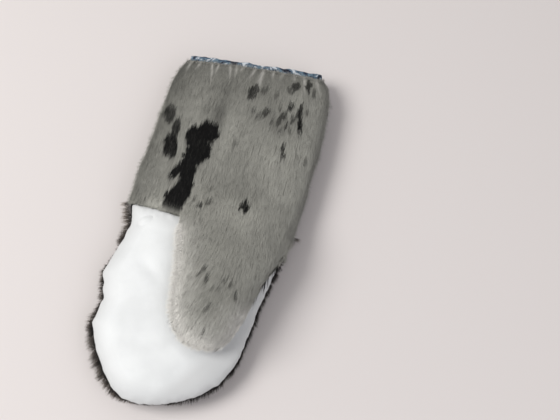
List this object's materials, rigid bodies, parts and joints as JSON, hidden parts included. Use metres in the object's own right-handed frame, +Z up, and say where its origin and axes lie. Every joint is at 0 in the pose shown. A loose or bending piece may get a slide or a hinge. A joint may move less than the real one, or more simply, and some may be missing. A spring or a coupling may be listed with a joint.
{
  "type": "fur mitten",
  "caption": "Left-hand fur mitten with a leather palm, lying palm up: short fur back and cuff, broad thumb folded over the palm, cotton lining and a beaded felt medallion on the back.",
  "frame": {"origin": "middle of the mitten's box, on the surface that it lies on", "axes": "+Z up, out of the palm; +Y from the fingertips towards the mouth; +X towards the thumb side"},
  "size_m": [0.1592, 0.33, 0.0554],
  "materials": {
    "dark_fur": "short sleek seal hair",
    "grey_fur": "short sleek seal hair with dark spots",
    "white_leather": "soft matt",
    "printed_cotton": "plain weave, printed",
    "white_felt": "wool felt",
    "glass_beads": "opaque glossy",
    "navy_floss": "satin stitch",
    "blue_floss": "satin stitch",
    "green_floss": "satin stitch"
  },
  "bodies": {
    "root": {"back_fur": "dark_fur", "palm_fur": "grey_fur", "palm_leather": "white_leather", "lining": "printed_cotton", "lining_hem": "printed_cotton", "medallion_felt": "white_felt", "bead_edging": "glass_beads", "flower_heart": "navy_floss", "petal_1": "blue_floss", "petal_2": "blue_floss", "petal_3": "blue_floss", "petal_4": "blue_floss", "petal_5": "blue_floss", "petal_6": "blue_floss", "leaf_1": "green_floss", "leaf_2": "green_floss", "leaf_3": "green_floss", "leaf_4": "green_floss", "leaf_5": "green_floss"}
  },
  "joints": []
}
